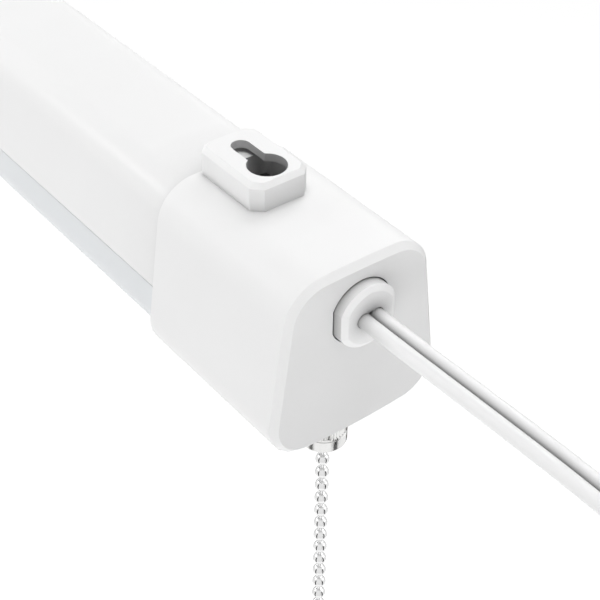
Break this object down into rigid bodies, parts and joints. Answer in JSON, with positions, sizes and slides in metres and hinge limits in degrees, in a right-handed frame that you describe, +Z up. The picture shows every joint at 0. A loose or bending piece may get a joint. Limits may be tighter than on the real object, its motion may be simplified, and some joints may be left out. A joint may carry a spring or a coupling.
{
  "type": "hanging shop light",
  "caption": "Long white ceiling light with a frosted diffuser, two end caps with keyhole lugs, a pull-chain switch and a flat plug-in cord.",
  "frame": {"origin": "midway between the two round keyhole entries, in the plane of the hanging lugs' tops", "axes": "+X along the light towards its cord end, +Y across it, +Z up"},
  "size_m": [1.3964, 0.0504, 0.255],
  "materials": {
    "housing_plastic": "smooth white plastic with a soft gloss",
    "diffuser_plastic": "frosted, faintly blue-grey",
    "cap_plastic": "satin white moulded plastic",
    "sheet_aluminium": "mill finish sheet",
    "board_white": "white solder mask",
    "chip_phosphor": "yellow phosphor",
    "screw_steel": "bright zinc plate",
    "white_nylon": "natural nylon",
    "insulator_film": "insulating film",
    "board_green": "green solder mask",
    "ferrite": "dark ferrite",
    "capacitor_sleeve": "dark blue shrink sleeve",
    "copper_winding": "enamelled copper",
    "black_resin": "black moulding resin",
    "fuse_sleeve": "ceramic body",
    "terminal_green": "green terminal block",
    "lead_red": "insulated wire",
    "lead_black": "insulated wire",
    "lead_white": "insulated wire",
    "relief_nylon": "white nylon, softly satin",
    "cord_white": "white flexible sheath",
    "tie_black": "soft strap",
    "plug_white": "white moulded plug",
    "blade_metal": "nickel-plated brass",
    "switch_resin": "brown moulding resin",
    "contact_brass": "bright brass strip",
    "nickel": "nickel plate",
    "chain_nickel": "bright nickel-plated beads"
  },
  "bodies": {
    "light": {"housing": "housing_plastic", "diffuser": "diffuser_plastic", "end_cap_cord": "cap_plastic", "end_cap_plain": "cap_plastic", "gear_tray": "sheet_aluminium", "light_board_cord": "board_white", "light_board_plain": "board_white", "chips_cord": "chip_phosphor", "chips_plain": "chip_phosphor", "board_screws": "screw_steel", "board_link": "white_nylon", "driver_insulator": "insulator_film", "driver_posts": "white_nylon", "driver_board": "board_green", "transformer": "ferrite", "bulk_capacitor": "capacitor_sleeve", "output_capacitor": "capacitor_sleeve", "line_choke": "copper_winding", "rectifier": "black_resin", "fuse": "fuse_sleeve", "driver_terminals": "terminal_green", "light_leads": "lead_red", "live_lead": "lead_black", "neutral_lead": "lead_white", "switched_lead": "lead_black", "strain_relief": "relief_nylon", "relief_key": "white_nylon", "cord_inside": "cord_white", "cord_run": "cord_white", "cord_coil": "cord_white", "cord_tail": "cord_white", "cord_tie": "tie_black", "plug_body": "plug_white", "plug_blade_narrow": "blade_metal", "plug_blade_broad": "blade_metal", "switch_case": "switch_resin", "switch_cover": "switch_resin", "switch_axle": "screw_steel", "return_spring": "screw_steel", "switch_contacts": "contact_brass", "switch_nipple": "nickel", "knurled_nut": "nickel", "bell_mouth": "nickel"},
    "chain_in_switch": {"chain_top": "chain_nickel"},
    "drum": {"switch_drum": "white_nylon"},
    "ratchet": {"ratchet_wheel": "white_nylon"},
    "pivot_bead": {"chain_pivot_bead": "chain_nickel"},
    "hanging_chain": {"chain_drop": "chain_nickel", "chain_bell": "chain_nickel"}
  },
  "joints": [
    {"name": "chain_pull", "type": "slide", "parent": "light", "child": "chain_in_switch", "axis": [0, 0, -1], "range_m": [0, 0.008], "stiffness_N_per_m": 500, "springref_m": -0.004},
    {"name": "drum_turn", "type": "hinge", "parent": "light", "child": "drum", "pos_m": [0.5772, 0, -0.04462], "axis": [0, 1, 0], "range_deg": [0, 92]},
    {"name": "ratchet_turn", "type": "hinge", "parent": "light", "child": "ratchet", "pos_m": [0.5772, 0.0062, -0.04462], "axis": [0, 1, 0], "range_deg": [0, 92]},
    {"name": "chain_swing_across", "type": "hinge", "parent": "chain_in_switch", "child": "pivot_bead", "pos_m": [0.5822, 0, -0.0736], "axis": [1, 0, 0], "range_deg": [-25, 25]},
    {"name": "chain_swing_along", "type": "hinge", "parent": "pivot_bead", "child": "hanging_chain", "pos_m": [0.5822, 0, -0.0736], "axis": [0, 1, 0], "range_deg": [-25, 25]}
  ],
  "couplings": [
    {"joint": "drum_turn", "follows": "chain_pull", "rad_per_m": 200},
    {"joint": "ratchet_turn", "follows": "chain_pull", "rad_per_m": 200}
  ]
}
